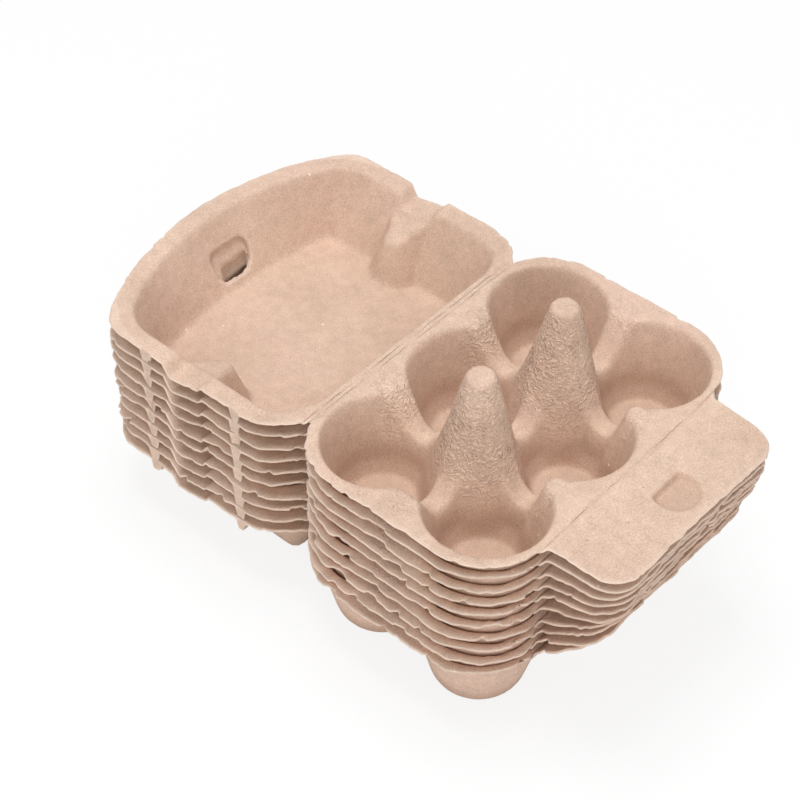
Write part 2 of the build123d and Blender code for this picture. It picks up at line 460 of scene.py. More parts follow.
# %% Lay and relax the grid
RELAX_STEPS = 150
RELAX_RATE = 0.28
still_places = ((1.6, 56.2), (fold_x + 0.6, flap_half + 1.4))
still_run = (1.5, 11.0)
crease_lures = ((6.0, 0.6, 1.8), (3.0, fold_x, 1.2))
top_counts = (112, 114, 42, 172)
rim_counts = (126, 132, 48, 62)
foot_counts = (92, 96, 32, 148)


def outline_grid(lid_count, base_count, flap_count, across_count):
    """A grid over the whole sheet, from the lid's front edge to the flap's front edge."""
    lid, base, flap = lid_side(), base_side(), flap_side()
    notch = (lid[-1] + base[0]) / 2
    lid[-1] = base[0] = notch
    sides = [evenly(lid, lid_count), evenly(base, base_count), evenly(flap, flap_count)]
    stops = [-lid_reach, notch[0], flap[0][0], flap_end]
    edge = np.concatenate([sides[0]] + [side[1:] for side in sides[1:]])
    middle = np.concatenate(
        [[stops[0]]] + [np.linspace(stops[k], stops[k + 1], len(sides[k]))[1:] for k in range(3)])
    share = np.linspace(-1.0, 1.0, across_count)[None, :]
    y = edge[:, 1:] * share
    sag = lid_bow - np.sqrt(lid_bow**2 - y**2)
    bow = sag / (lid_bow - np.sqrt(lid_bow**2 - edge[:, 1:] ** 2))
    x = middle[:, None] + (edge[:, :1] - middle[:, None]) * bow
    return x, y


def edge_lengths(x, y, z, axis):
    """Real lengths of the grid's edges along one of its axes."""
    return np.sqrt(np.diff(x, axis=axis) ** 2 + np.diff(y, axis=axis) ** 2 + np.diff(z, axis=axis) ** 2)


def relaxed(x, y, steps):
    """The same grid with its inner points drawn to the steep places and to the creases."""
    x, y = x.copy(), y.copy()
    inner = (slice(1, -1), slice(1, -1))
    step = np.full_like(x[inner], RELAX_RATE)
    for still_x, still_y in still_places:
        step = step * ease(np.hypot(x[inner] - still_x, np.abs(y[inner]) - still_y), *still_run)
    for _ in range(steps):
        lure = sum(rise * np.tanh((x - lure_x) / width) for rise, lure_x, width in crease_lures)
        z = sheet_height(x, y) + lure
        along = edge_lengths(x, y, z, 0)[:, 1:-1]
        across = edge_lengths(x, y, z, 1)[1:-1, :]
        before, after, left, right = along[:-1], along[1:], across[:, :-1], across[:, 1:]
        total = before + after + left + right
        for plan in (x, y):
            mean = (before * plan[:-2, 1:-1] + after * plan[2:, 1:-1]
                    + left * plan[1:-1, :-2] + right * plan[1:-1, 2:]) / total
            plan[inner] += step * (mean - plan[inner])
    return x, y


top_grid, rim_grid, foot_grid = [
    relaxed(*outline_grid(*counts), RELAX_STEPS) for counts in (top_counts, rim_counts, foot_counts)]
for grid_name, grid in (("top", top_grid), ("rim", rim_grid), ("foot", foot_grid)):
    print(grid_name, "grid:", grid[0].size, "points on one face")

# %% [markdown]
# ## Unevenness of real pulp
#
# No two pulp boxes are alike: rims ripple, edges are torn where the mould's water jet trimmed them,
# and the walls of posts and cell corners wrinkle as the wet sheet is pressed. A repeatable lattice
# noise gives all of this. It is drawn from seeded tables, so the model comes out the same each time.
# Two shares say where the pulp differs: one for wrinkles, and one for the heels of the cells and the
# latch dimple, which get painted shade: their colour is mixed towards a darker brown.

# %% Lattice noise
TABLE_SIZE = 32
COARSE_SHARE = 0.68
FINE_SHARE = 0.32
FINE_SIZE = 0.43
FOLD_SHARPNESS = 4


def lattice_noise(points, size, seed):
    """Smooth noise between -1 and 1 at points, with features of about the given size."""
    table = np.random.default_rng(seed).uniform(-1.0, 1.0, (TABLE_SIZE,) * 3)
    scaled = points / size
    cell = np.floor(scaled).astype(int)
    part = scaled - cell
    part = part * part * (3 - 2 * part)
    total = np.zeros(points.shape[:-1])
    for corner in np.ndindex(2, 2, 2):
        weight = np.ones(points.shape[:-1])
        for axis in range(3):
            weight = weight * (part[..., axis] if corner[axis] else 1 - part[..., axis])
        place = [(cell[..., axis] + corner[axis]) % TABLE_SIZE for axis in range(3)]
        total += weight * table[place[0], place[1], place[2]]
    return total


def rough_noise(points, size, seed):
    """Noise with a second, finer layer."""
    coarse = lattice_noise(points, size, seed)
    fine = lattice_noise(points, size * FINE_SIZE, seed + 1)
    return COARSE_SHARE * coarse + FINE_SHARE * fine


def folds(points, size, seed):
    """Narrow ridges between 0 and 1, as on wrinkled paper."""
    return (1 - np.abs(rough_noise(points, size, seed))) ** FOLD_SHARPNESS


print("noise sample: %.3f" % rough_noise(np.array([[1.5, 2.5, 0.0]]), 5.0, 1)[0])


# %% Where the sheet wrinkles and where shade is painted
post_wrinkle_run = (19.0, 12.0)
post_smooth_run = (post_top_z - 0.5, post_top_z - 4.0)
cusp_run = (12.0, 3.0)
hinge_cusp = (13.0, 0.9)
front_cusp = (88.0, 0.35)
end_cusp = (64.0, 0.5)
latch_shade = 0.7
latch_shade_run = (0.4, 1.4)
heel_ring_run = (11.5, 13.5)
heel_height_run = (-18.0, -25.0)


def wrinkle_share(x, y, z):
    """1 on the posts and on the corners between cells, 0 where the mould pressed the sheet smooth."""
    share = np.zeros_like(x)
    for post_y in post_rows:
        from_post = np.hypot(x - cells_middle, y - post_y)
        on_post = ease(from_post, *post_wrinkle_run) * ease(z, *post_smooth_run)
        share = np.maximum(share, on_post)
        for cusp_x, weight in (hinge_cusp, front_cusp):
            share = np.maximum(share, weight * ease(np.hypot(x - cusp_x, y - post_y), *cusp_run))
    cusp_y, weight = end_cusp
    for end in (-1, 1):
        share = np.maximum(share, weight * ease(np.hypot(x - cells_middle, y - end * cusp_y), *cusp_run))
    return share


def painted_shade_share(x, y, z):
    """1 where shade is painted into the colour: the heel ring of each cell and the latch dimple."""
    share = latch_shade * ease(-latch_height(x, y), *latch_shade_run) * (x > fold_x)
    for column in cell_columns:
        for row in cell_rows:
            radius = np.hypot(x - column, y - row)
            ring = ease(radius, *heel_ring_run) * ease(z, *heel_height_run) * (radius < cell_rim_radius)
            share = np.maximum(share, ring)
    return share


for grid_share in (wrinkle_share, painted_shade_share):
    top_share = grid_share(*top_grid, sheet_height(*top_grid))
    print(grid_share.__name__, "mean over the top box: %.3f" % top_share.mean())

# %% [markdown]
# ## The torn latch window
#
# The window in the lid's front wall is torn out rather than cut: flat along its top, where the latch
# catches, and rounded below. Faces inside its outline are left out of the grid, and the points along
# the gap are moved onto the outline, in the plan, until their height on the wall fits. Otherwise the
# gap would show the steps of the grid. The boxes below are torn out less and a little to one side, so
# their walls close most of the view through the window and leave a dark slit.

# %% Window outline
window_y = 2.0
window_z = -20.8
window_half_width = 9.4
window_half_height = 6.5
window_top_radius = 2.5
window_foot_radius = 6.0
window_back = -84.0
window_ragged = 0.75
window_grain = 2.4
lower_window_inset = 2.2
lower_window_drift = 0.8
SLOPE_STEP = 0.05
SNAP_STEPS = 6
LEAST_SLOPE = 0.2
LONGEST_MOVE = 0.35
WINDOW_SEED = 500


def window_distance(x, y, inset, seed):
    """Distance outside the ragged window, measured on the lid's front wall."""
    z = sheet_height(x, y)
    places = np.stack([np.zeros_like(y), y, z], -1)
    ragged = (window_ragged + inset / 2) * rough_noise(places, window_grain + inset, seed)
    radius = np.where(z > window_z, window_top_radius, window_foot_radius)
    beside = np.abs(y - window_y - inset * lower_window_drift) - window_half_width
    return rounded_corner(beside, np.abs(z - window_z) - window_half_height, radius) + ragged + inset


def corners(values):
    """The four neighbours of each place between the values of a grid."""
    return np.stack([values[:-1, :-1], values[1:, :-1], values[:-1, 1:], values[1:, 1:]])


def with_window(grid, inset, seed):
    """The grid with its points on the window's outline, and the faces that are kept."""
    x, y = grid[0].copy(), grid[1].copy()
    centre_x = corners(x).sum(0) / 4
    centre_y = corners(y).sum(0) / 4
    kept = ~((window_distance(centre_x, centre_y, inset, seed) < 0) & (centre_x < window_back))
    around = corners(np.pad(kept, 1, constant_values=True))
    rim = around.any(0) & ~around.all(0)
    for _ in range(SNAP_STEPS):
        rim_x, rim_y = x[rim], y[rim]
        gap = window_distance(rim_x, rim_y, inset, seed)
        slope_x = (window_distance(rim_x + SLOPE_STEP, rim_y, inset, seed) - gap) / SLOPE_STEP
        slope_y = (window_distance(rim_x, rim_y + SLOPE_STEP, inset, seed) - gap) / SLOPE_STEP
        move = gap / np.maximum(slope_x**2 + slope_y**2, LEAST_SLOPE)
        move = np.clip(move, -LONGEST_MOVE, LONGEST_MOVE)
        x[rim] -= move * slope_x
        y[rim] -= move * slope_y
    return x, y, kept


print("window faces:", int((~with_window(top_grid, 0.0, WINDOW_SEED)[2]).sum()))

# %% [markdown]
# ## From grid to sheet
#
# The upper face comes from the heights, and the lower face lies one wall below it, along the surface
# normal. Towards a torn edge the sheet gets thinner, frays and has nicks. Its lower side reaches out a
# little further, so the torn edge faces up and catches the light. Nibs hang from the lid's end rims and
# rest on the next box down. Round the window the walls of the lower boxes swell towards the box above.
# Where the grid ends, a narrow strip joins the two faces, so each box is one closed skin. The strip
# keeps flat faces, which read as the rough torn edge of the pulp.

# %% Shape of one box
wall = 1.4
edge_wall_share = 0.42
edge_wall_run = 2.4
edge_bevel = 0.4
edge_bevel_run = 0.8
fringe_width = 2.2
torn_depth = 0.45
lower_torn_depth = 0.4
fray_size = 4.5
bite_size = 15.0
bite_share = 0.5
nick_size = 3.4
nick_limit = 0.48
nick_depth = 4.5
deepest_nick = 1.5
rim_ripple = 0.4
lower_ripple = 0.8
ripple_reach = 5.0
ripple_size = 34.0
flap_ripple_run = (fold_x, fold_x + 4.0)
flutter_share = 0.35
flutter_size = 8.0
wrinkle_depth = 0.5
wrinkle_size = 3.0
lower_swell = 1.1
swell_run = (22.0, 14.0)
nib_places = (-70.0, -24.0)
nib_drop = 4.6
nib_half_width = 2.1
nib_side_run = (nib_half_width + 0.3, nib_half_width - 0.2)
nib_edge_run = (2.4, 1.2)
lowest_lift = 42.0
fold_turn_run = (fold_x - 0.9, fold_x + 1.5)
flap_droop = 3.6
droop_boxes = 5
droop_start_y = -5.0
droop_curve = 1.5
FRAY_SEED = 100
BITE_SEED = 107
NICK_SEED = 111
RIPPLE_SEED = 300
FLUTTER_SEED = 400
WRINKLE_SEED = 600


def face_normals(points):
    """Normals of a grid of points."""
    along = np.gradient(points, axis=0)
    across = np.gradient(points, axis=1)
    normal = np.cross(along, across)
    return normal / np.linalg.norm(normal, axis=-1, keepdims=True)


def flat_points(x, y):
    """Points of the plan, without a height."""
    return np.stack([x, y, np.zeros_like(x)], -1)


def torn_edge(x, y, depth, level):
    """The plan with its outer edge frayed and nicked, the nearness of that edge, and the way out."""
    near = np.exp(-rim_depth(x, y) / fringe_width)
    flat = flat_points(x, y)
    fray = rough_noise(flat, fray_size, FRAY_SEED + level)
    fray = near * (fray + bite_share * lattice_noise(flat, bite_size, BITE_SEED + level))
    nicks = near * np.maximum(lattice_noise(flat, nick_size, NICK_SEED + level) - nick_limit, 0.0)
    fray = np.maximum(depth * (fray - nick_depth * nicks), -deepest_nick * near)
    out_x = (rim_distance(x + SLOPE_STEP, y) - rim_distance(x - SLOPE_STEP, y)) / (2 * SLOPE_STEP)
    out_y = (rim_distance(x, y + SLOPE_STEP) - rim_distance(x, y - SLOPE_STEP)) / (2 * SLOPE_STEP)
    out = np.stack([out_x, out_y], -1)
    return np.stack([x, y], -1) + fray[..., None] * out, near, out


def ripple_rims(upper, x, y, worn_share, level):
    """Lifts and lowers the rims and the flap of an upper face in long waves and a finer flutter."""
    reach = np.maximum(np.exp(-rim_depth(x, y) / ripple_reach), ease(x, *flap_ripple_run))
    ripple = (rim_ripple + lower_ripple * worn_share) * reach
    flat = flat_points(x, y)
    upper[..., 2] += ripple * lattice_noise(flat, ripple_size, RIPPLE_SEED + level)
    upper[..., 2] += flutter_share * ripple * lattice_noise(flat, flutter_size, FLUTTER_SEED + level)


def bent_flap(points, lift, droop):
    """The flap turned up about the fold, with one corner drooping."""
    x, y, z = np.moveaxis(points, -1, 0)
    turn = np.radians(lift) * ease(x, *fold_turn_run)
    turned = x > fold_turn_run[0]
    ahead = x - fold_x
    rise = z + wall / 2
    out = np.where(turned, fold_x + ahead * np.cos(turn) - rise * np.sin(turn), x)
    up = np.where(turned, ahead * np.sin(turn) + rise * np.cos(turn) - wall / 2, z)
    share = np.clip(ahead / flap_length, 0.0, 1.0)
    up = up - droop * share**droop_curve * ease(y, droop_start_y, flap_half)
    return np.stack([out, y, up], -1)


def nib_share(x, y):
    """1 on the nibs at the outer edge of the lid's end rims."""
    share = np.zeros_like(x)
    for nib_x in nib_places:
        share = np.maximum(share, ease(np.abs(x - nib_x), *nib_side_run))
    return share * ease(rim_depth(x, y), *nib_edge_run) * (np.abs(y) > lid_half - lid_flange)


def box_faces(x, y, level, top_level):
    """Upper and lower face of one box, and the shares of torn edge, wrinkle and painted shade at each point.
    """
    depth_share = 1 - level / top_level
    worn_share = min(1.0, 2 * depth_share)
    inside = rim_depth(x, y)
    plan, near, out = torn_edge(x, y, torn_depth + lower_torn_depth * worn_share, level)
    upper = np.concatenate([plan, sheet_height(x, y)[..., None]], -1)
    ripple_rims(upper, x, y, worn_share, level)
    normals = face_normals(upper)
    thickness = wall * (edge_wall_share + (1 - edge_wall_share) * ease(inside, 0.0, edge_wall_run))
    lower = upper - normals * thickness[..., None]
    lower[..., :2] += edge_bevel * ease(inside, edge_bevel_run, 0.0)[..., None] * out
    lower[..., 2] -= nib_drop * nib_share(x, y)
    lower[..., 2] = np.maximum(lower[..., 2], -moulding_depth - wall)
    wrinkle = wrinkle_share(*np.moveaxis(upper, -1, 0))
    painted_shade = painted_shade_share(*np.moveaxis(upper, -1, 0))
    if level == top_level:
        raised = wrinkle_depth * wrinkle * folds(upper, wrinkle_size, WRINKLE_SEED)
    else:
        from_window = np.hypot(y - window_y, upper[..., 2] - window_z)
        raised = lower_swell * ease(from_window, *swell_run) * (x < window_back)
    upper = upper + normals * raised[..., None]
    lift = lowest_lift * depth_share
    droop = flap_droop * max(0.0, 1 - (top_level - level) / droop_boxes)
    return bent_flap(upper, lift, droop), bent_flap(lower, lift, droop), (near, wrinkle, painted_shade)


print("wall %.1f mm, torn edges %.2f mm" % (wall, wall * edge_wall_share))


# %% Stitch the two faces into one skin
FUZZ_RANGE = (0.25, 0.75)


def point_index(kept):
    """Numbers of the grid's points, for a grid with these faces."""
    rows, columns = kept.shape
    return np.arange((rows + 1) * (columns + 1)).reshape(rows + 1, columns + 1)


def rim_edges(kept):
    """Edges of the kept faces that have no neighbour, as index pairs in the faces' own direction."""
    index = point_index(kept)
    padded = np.pad(kept, 1)
    inner = padded[1:-1, 1:-1]
    pairs = []
    for neighbour, start, end in (
        (padded[1:-1, :-2], index[:-1, :-1], index[1:, :-1]),
        (padded[2:, 1:-1], index[1:, :-1], index[1:, 1:]),
        (padded[1:-1, 2:], index[1:, 1:], index[:-1, 1:]),
        (padded[:-2, 1:-1], index[:-1, 1:], index[:-1, :-1]),
    ):
        open_edge = inner & ~neighbour
        pairs.append(np.stack([start[open_edge], end[open_edge]], 1))
    return np.concatenate(pairs)


def skin(upper, lower, kept, shares, edge_torn, seed):
    """Points, faces, the count of smooth faces, and the shares at each point of the closed sheet."""
    index = point_index(kept)
    quads = np.stack([index[:-1, :-1], index[1:, :-1], index[1:, 1:], index[:-1, 1:]], -1)[kept]
    count = index.size
    edges = rim_edges(kept)
    rim = np.unique(edges)
    top, bottom = upper.reshape(-1, 3), lower.reshape(-1, 3)
    fuzz = np.random.default_rng(seed).uniform(*FUZZ_RANGE, (len(rim), 1))
    middle = top[rim] * fuzz + bottom[rim] * (1 - fuzz)
    slot = np.zeros(count, int)
    slot[rim] = 2 * count + np.arange(len(rim))
    start, end = edges[:, 0], edges[:, 1]
    strips = [
        np.stack([end, start, slot[start], slot[end]], 1),
        np.stack([slot[end], slot[start], start + count, end + count], 1),
    ]
    faces = np.concatenate([quads, quads[:, ::-1] + count] + strips)
    points = np.concatenate([top, bottom, middle])
    flat_shares = [share.ravel() for share in shares]
    all_shares = [np.concatenate([share, share, share[rim]]) for share in flat_shares]
    all_shares[0][2 * count:] = edge_torn.ravel()[rim]
    used = np.unique(faces)
    renumber = np.zeros(len(points), int)
    renumber[used] = np.arange(len(used))
    return points[used], renumber[faces], 2 * len(quads), [share[used] for share in all_shares]


print("open edges of a whole grid:", len(rim_edges(np.ones((4, 5), bool))))

# %% [markdown]
# ## Pulp
#
# Moulded pulp is matte and pinkish tan. Close up it is a felt of short fibres with a fine grain, soft
# clouds of colour, and dark and pale specks from the waste paper that it is made of. Torn edges are
# paler, the heels of the cells and the latch dimple get painted shade, and wrinkles, cracks and the
# pressed fold lines hold a little painted shade. All of it comes from noise in object space, at the
# real size of each effect, so it runs on over every edge and needs no unwrapping. One node group makes
# the colour and the height of the felt, and the material gives both to one matte shader.

# %% Node helpers
def new_group(name, inputs, outputs):
    """A shader node group with named sockets."""
    group = bpy.data.node_groups.new(name, "ShaderNodeTree")
    for socket, kind, value in inputs:
        item = group.interface.new_socket(socket, in_out="INPUT", socket_type=kind)
        item.default_value = value
    for socket, kind in outputs:
        group.interface.new_socket(socket, in_out="OUTPUT", socket_type=kind)
    return group, group.nodes.new("NodeGroupInput"), group.nodes.new("NodeGroupOutput")


def add(tree, kind, **settings):
    """A new node with the given settings on it and values on its inputs."""
    node = tree.nodes.new(kind)
    for name, value in settings.items():
        if name in node.inputs:
            node.inputs[name].default_value = value
        else:
            setattr(node, name, value)
    return node


def feed(tree, value, socket):
    """Puts a number, a colour or another socket into a socket."""
    if isinstance(value, bpy.types.NodeSocket):
        tree.links.new(value, socket)
    else:
        socket.default_value = value


def sum_up(tree, operation, *values):
    """One step of arithmetic on numbers or sockets."""
    node = add(tree, "ShaderNodeMath", operation=operation)
    for value, socket in zip(values, node.inputs):
        feed(tree, value, socket)
    return node.outputs[0]


def blend(tree, kind, share, first, second):
    """Two colours mixed by a share."""
    node = add(tree, "ShaderNodeMix", data_type="RGBA", blend_type=kind)
    for value, place in ((share, 0), (first, 6), (second, 7)):
        feed(tree, value, node.inputs[place])
    return node.outputs[2]


def spread(tree, value, low, high):
    """A value stretched so that low becomes 0 and high becomes 1."""
    node = add(tree, "ShaderNodeMapRange", interpolation_type="SMOOTHSTEP")
    feed(tree, value, node.inputs["Value"])
    node.inputs["From Min"].default_value = low
    node.inputs["From Max"].default_value = high
    return node.outputs["Result"]


def mix_shaders(tree, share, first, second, output):
    """Puts a mix of two shaders into the surface of an output."""
    node = add(tree, "ShaderNodeMixShader")
    for value, socket in zip((share, first, second), node.inputs):
        feed(tree, value, socket)
    tree.links.new(node.outputs["Shader"], tree.nodes[output].inputs["Surface"])


print("node helpers ready; node groups so far:", len(bpy.data.node_groups))


# %% Pulp felt group
TAN_DEEP = (0.612, 0.438, 0.335, 1.0)
TAN_PALE = (0.690, 0.504, 0.392, 1.0)
TAN_PINK = (0.675, 0.476, 0.382, 1.0)
PAINTED_SHADE_BROWN = (0.470, 0.305, 0.222, 1.0)
FIBRE_PALE = (0.850, 0.690, 0.572, 1.0)
SPECK_PALE = (0.860, 0.760, 0.670, 1.0)
SPECK_DARK = (0.190, 0.118, 0.082, 1.0)
CREASE_PLACES = [(hinge_place + crease_x) * METRE for crease_x in (*hinge_creases, fold_x)]
LINE_HALF_WIDTH = 0.0003
LINE_WOBBLE = 0.0016

# Noise layers: scale in features per metre, detail and roughness.
MOTTLE = (260.0, 4.0, 0.62)
GRAIN = (1900.0, 2.0, 0.65)
CLOUDS = (38.0, 3.0, 0.55)
DRIFT = (16.0, 2.0, 0.5)
WOBBLE = (90.0, 2.0, 0.5)
LINE_GAPS = (75.0, 2.0, 0.5)
CRACK_GAPS = (170.0, 1.0, 0.5)

# Lines in the felt: scale, detail and width. They follow the middle value of a distorted noise.
FIBRES = (620.0, 2.0, 0.022)
CREASES = (430.0, 2.0, 0.08)
CRUMPLE = (430.0, 2.0, 0.24)
CRACKS = (300.0, 3.0, 0.035)
LINE_ROUGHNESS = 0.55
LINE_DISTORTION = 0.5
NOISE_MIDDLE = 0.5

# Specks: scale, radius and the share of places that have one.
PALE_SPECKS = (150.0, 0.10, 0.22)
DARK_SPECKS = (190.0, 0.07, 0.16)
SPECK_CORE = 0.4

# Strength of each layer in the tone and in the height of the felt.
EVEN_TONE = 0.8
TONE = {"mottle": 0.4, "speckle": 0.95, "wrinkle": 0.17, "crease": -0.24}
RELIEF = {"mottle": 0.7, "grain": 0.55, "fibre": 0.12, "crease": -1.1, "crumple": -2.8}

# Ranges of noise that become masks, shares of a mask, and the factor and offset of patchy masks.
CLOUD_RANGE = (0.3, 0.7)
DRIFT_RANGE = (0.42, 0.66)
LINE_GAP_RANGE = (0.4, 0.6)
CRACK_GAP_RANGE = (0.48, 0.6)
DRIFT_SHARE = 0.55
CREASE_SHARE = 0.7
FOLD_CRACK_SHARE = 0.3
CRACK_SHARE = 0.5
FIBRE_SHARE = 0.16
PAINTED_SHADE_PATCH = (0.7, 0.2)
TORN_PATCH = (1.0, 0.35)


def pulp_felt():
    """Colour and height of a felt of paper fibres, in object space."""
    group, given, result = new_group(
        "Pulp felt",
        [(share, "NodeSocketFloat", 0.0) for share in ("Torn", "Wrinkle", "Painted_shade")],
        [("Color", "NodeSocketColor"), ("Height", "NodeSocketFloat")],
    )
    place = add(group, "ShaderNodeTexCoord").outputs["Object"]
    axes = add(group, "ShaderNodeSeparateXYZ")
    group.links.new(place, axes.inputs[0])
    wrinkle = given.outputs["Wrinkle"]

    times, times_plus, larger = [
        partial(sum_up, group, operation) for operation in ("MULTIPLY", "MULTIPLY_ADD", "MAXIMUM")]
    mix = partial(blend, group, "MIX")
    stretch = partial(spread, group)

    def noise(scale, detail, rough, distortion=0.0):
        node = add(group, "ShaderNodeTexNoise", Scale=scale, Detail=detail, Roughness=rough)
        node.inputs["Distortion"].default_value = distortion
        group.links.new(place, node.inputs["Vector"])
        return node.outputs["Fac"]

    def lines(scale, detail, width):
        layer = noise(scale, detail, LINE_ROUGHNESS, LINE_DISTORTION)
        from_middle = sum_up(group, "SUBTRACT", layer, NOISE_MIDDLE)
        return stretch(sum_up(group, "ABSOLUTE", from_middle), width, 0.0)

    def specks(scale, radius, share):
        node = add(group, "ShaderNodeTexVoronoi", Scale=scale)
        group.links.new(place, node.inputs["Vector"])
        dot = stretch(node.outputs["Distance"], radius, radius * SPECK_CORE)
        chosen = sum_up(group, "LESS_THAN", node.outputs["Color"], share)
        return times(dot, chosen)

    def pressed_line(place_x):
        wobble = times_plus(noise(*WOBBLE), LINE_WOBBLE, axes.outputs["X"])
        away = sum_up(group, "ABSOLUTE", sum_up(group, "SUBTRACT", wobble, place_x + LINE_WOBBLE / 2))
        return stretch(away, LINE_HALF_WIDTH, 0.0)

    mottle = noise(*MOTTLE)
    grain = noise(*GRAIN)
    fibres = lines(*FIBRES)
    # The pressed fold lines along the hinge and the fold: they get painted shade in the tone and the cracks,
    # and a groove in the bump.
    painted_shade = pressed_line(CREASE_PLACES[0])
    for crease_place in CREASE_PLACES[1:]:
        painted_shade = larger(painted_shade, pressed_line(crease_place))
    painted_shade = times(painted_shade, stretch(noise(*LINE_GAPS), *LINE_GAP_RANGE))
    creases = times(lines(*CREASES), wrinkle)
    creases = larger(times(creases, CREASE_SHARE), painted_shade)
    crumple = times(lines(*CRUMPLE), wrinkle)
    cracks = times(lines(*CRACKS), wrinkle)
    cracks = times(cracks, stretch(noise(*CRACK_GAPS), *CRACK_GAP_RANGE))
    cracks = larger(cracks, times(painted_shade, FOLD_CRACK_SHARE))

    colour = mix(stretch(noise(*CLOUDS), *CLOUD_RANGE), TAN_DEEP, TAN_PALE)
    drift = stretch(noise(*DRIFT), *DRIFT_RANGE)
    colour = mix(times(drift, DRIFT_SHARE), colour, TAN_PINK)
    layers = {
        "mottle": mottle, "grain": grain, "speckle": sum_up(group, "SUBTRACT", grain, NOISE_MIDDLE),
        "fibre": fibres, "wrinkle": wrinkle, "crease": creases, "crumple": crumple,
    }
    # In the tone, the crease lines of the wrinkles and the pressed fold lines darken the colour as painted
    # shade.
    tone = EVEN_TONE
    for name, strength in TONE.items():
        tone = times_plus(layers[name], strength, tone)
    # Painted shade: the heel rings of the cells and the latch dimple are mixed, in patches, towards a darker
    # brown.
    patchy = times_plus(mottle, *PAINTED_SHADE_PATCH)
    patchy_shade = times(given.outputs["Painted_shade"], patchy)
    colour = mix(patchy_shade, colour, PAINTED_SHADE_BROWN)
    colour = blend(group, "MULTIPLY", 1.0, colour, tone)
    # Painted shade in the cracks of the wrinkles and along the fold.
    colour = mix(times(cracks, CRACK_SHARE), colour, SPECK_DARK)
    colour = mix(times(fibres, FIBRE_SHARE), colour, FIBRE_PALE)
    frayed = times_plus(mottle, *TORN_PATCH)
    ragged = times(given.outputs["Torn"], frayed)
    colour = mix(ragged, colour, FIBRE_PALE)
    colour = mix(specks(*PALE_SPECKS), colour, SPECK_PALE)
    colour = mix(specks(*DARK_SPECKS), colour, SPECK_DARK)
    group.links.new(colour, result.inputs["Color"])

    height = 0.0
    for name, strength in RELIEF.items():
        height = times_plus(layers[name], strength, height)
    group.links.new(height, result.inputs["Height"])
    return group


def pulp_material():
    """The finish of every box."""
    material = bpy.data.materials.new("pulp")
    material.use_nodes = True
    tree = material.node_tree
    shader = tree.nodes["Principled BSDF"]
    shader.inputs["Roughness"].default_value = 0.92
    shader.inputs["Specular IOR Level"].default_value = 0.15
    felt = add(tree, "ShaderNodeGroup", node_tree=pulp_felt())
    for socket in ("Torn", "Wrinkle", "Painted_shade"):
        share = add(tree, "ShaderNodeAttribute", attribute_name=socket.lower())
        tree.links.new(share.outputs["Fac"], felt.inputs[socket])
    tree.links.new(felt.outputs["Color"], shader.inputs["Base Color"])
    bump = add(tree, "ShaderNodeBump", Strength=0.55, Distance=0.0005)
    tree.links.new(felt.outputs["Height"], bump.inputs["Height"])
    tree.links.new(bump.outputs["Normal"], shader.inputs["Normal"])
    return material


pulp = pulp_material()
print("pulp felt nodes:", len(bpy.data.node_groups["Pulp felt"].nodes))

# %% [markdown]
# ## Ten boxes
#
# Each box is its own object, because each is its own moulding and its own node of the frame. The
# boxes share one plan but not one mesh: every box has its own tears and ripples, and the flaps lie
# flat at the top and stand steeper towards the floor. The top box gets the finest grid, and the lowest
# one a fine grid too, because its feet show. Of the boxes between only the rims show, so their grid is
# fine along the outline and coarse across.

# %% Build the boxes
TORN_FACE_SHARE = 0.45
TORN_FACE_CURVE = 4
WINDOW_FRINGE = 0.5
NIB_SHADE = 0.85
FUZZ_SEED = 700


def new_object(name, data):
    """A new object in the scene."""
    thing = bpy.data.objects.new(name, data)
    bpy.context.scene.collection.objects.link(thing)
    return thing


def build_box(name, level, grid, top_level):
    """One box of the stack, in its place."""
    inset = 0.0 if level == top_level else lower_window_inset
    x, y, kept = with_window(grid, inset, WINDOW_SEED + level)
    upper, lower, (near, wrinkle, painted_shade) = box_faces(x, y, level, top_level)
    from_window = np.maximum(window_distance(x, y, inset, WINDOW_SEED + level), 0.0)
    at_window = np.exp(-from_window / WINDOW_FRINGE) * (x < window_back)
    torn = TORN_FACE_SHARE * np.maximum(near**TORN_FACE_CURVE, at_window)
    edge_torn = 1 - NIB_SHADE * nib_share(x, y)
    shares = (torn, wrinkle, painted_shade)
    points, faces, smooth_count, shares = skin(upper, lower, kept, shares, edge_torn, FUZZ_SEED + level)
    points = points + (hinge_place, 0.0, top_rim_z - (top_level - level) * nest_pitch)
    mesh = bpy.data.meshes.new(name + "_pulp")
    mesh.from_pydata((points * METRE).tolist(), [], faces.tolist())
    mesh.polygons.foreach_set("use_smooth", np.arange(len(faces)) < smooth_count)
    for share_name, share in zip(("torn", "wrinkle", "painted_shade"), shares):
        mesh.attributes.new(share_name, "FLOAT", "POINT").data.foreach_set("value", share.astype(np.float32))
    mesh.materials.append(pulp)
    mesh.update()
    piece = new_object(name + "_pulp", mesh)
    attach(piece, "root")
    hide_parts(name)
    return piece


grids = [foot_grid] + [rim_grid] * (len(box_names) - 2) + [top_grid]
for level, name in enumerate(box_names):
    piece = build_box(name, level, grids[level], len(box_names) - 1)
    print(piece.name, len(piece.data.polygons), "faces")

# %% [markdown]
# ## Floor
#
# The stack stands on a plain white sweep. The camera sees the floor almost white, and only a trace of
# its shading is left in, so that the stack stands on something.

# %% Lay the floor
floor_half = 3.0
FLOOR_WHITE_SHARE = 0.84
floor_mesh = bpy.data.meshes.new("floor")
floor_corners = [(x * floor_half, y * floor_half, 0) for x, y in ((-1, -1), (1, -1), (1, 1), (-1, 1))]
floor_mesh.from_pydata(floor_corners, [], [(0, 1, 2, 3)])
floor = new_object("floor", floor_mesh)

